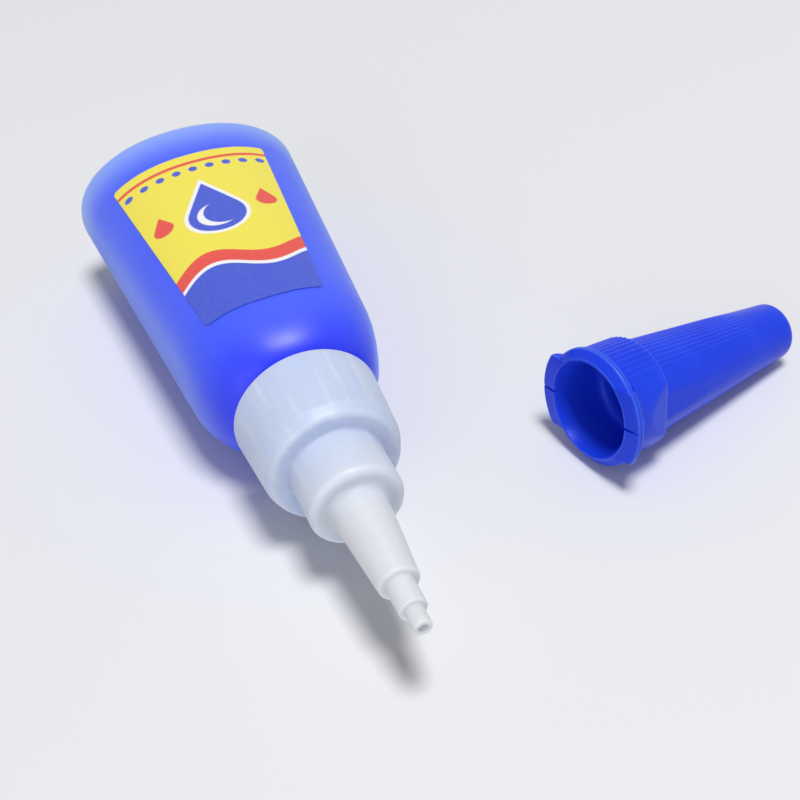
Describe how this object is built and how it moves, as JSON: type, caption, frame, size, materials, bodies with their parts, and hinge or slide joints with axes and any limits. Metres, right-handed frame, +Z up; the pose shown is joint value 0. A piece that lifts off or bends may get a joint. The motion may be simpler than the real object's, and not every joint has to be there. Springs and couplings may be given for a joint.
{
  "type": "super glue tube",
  "caption": "Oval squeeze bottle of instant adhesive with a screw-on stepped spout, lying on its back, with its ribbed push-on cap taken off beside it.",
  "frame": {"origin": "centre of the bottle's flat base", "axes": "+Y out of the base, so that the bottle's axis runs along -Y to the spout's tip; +Z up, out of the labelled front of the bottle as it lies; +X across, towards the cap"},
  "size_m": [0.0814, 0.0928, 0.0219],
  "materials": {
    "bottle_blue": "satin blown polyethylene, slightly translucent",
    "label_film": "printed film, satin",
    "adhesive_liquid": "clear liquid",
    "nozzle_natural": "natural translucent polyethylene, satin",
    "cap_blue": "glossy moulded polypropylene"
  },
  "bodies": {
    "bottle": {"bottle": "bottle_blue", "label": "label_film", "adhesive": "adhesive_liquid"},
    "nozzle": {"nozzle": "nozzle_natural"},
    "cap": {"cap": "cap_blue"}
  },
  "joints": [
    {"name": "nozzle_lift", "type": "slide", "parent": "bottle", "child": "nozzle", "axis": [0, -1, 0], "range_m": [0, 0.016]},
    {"name": "cap_lift", "type": "slide", "parent": "bottle", "child": "cap", "axis": [0, 0, 1], "range_m": [0, 0.06]}
  ]
}
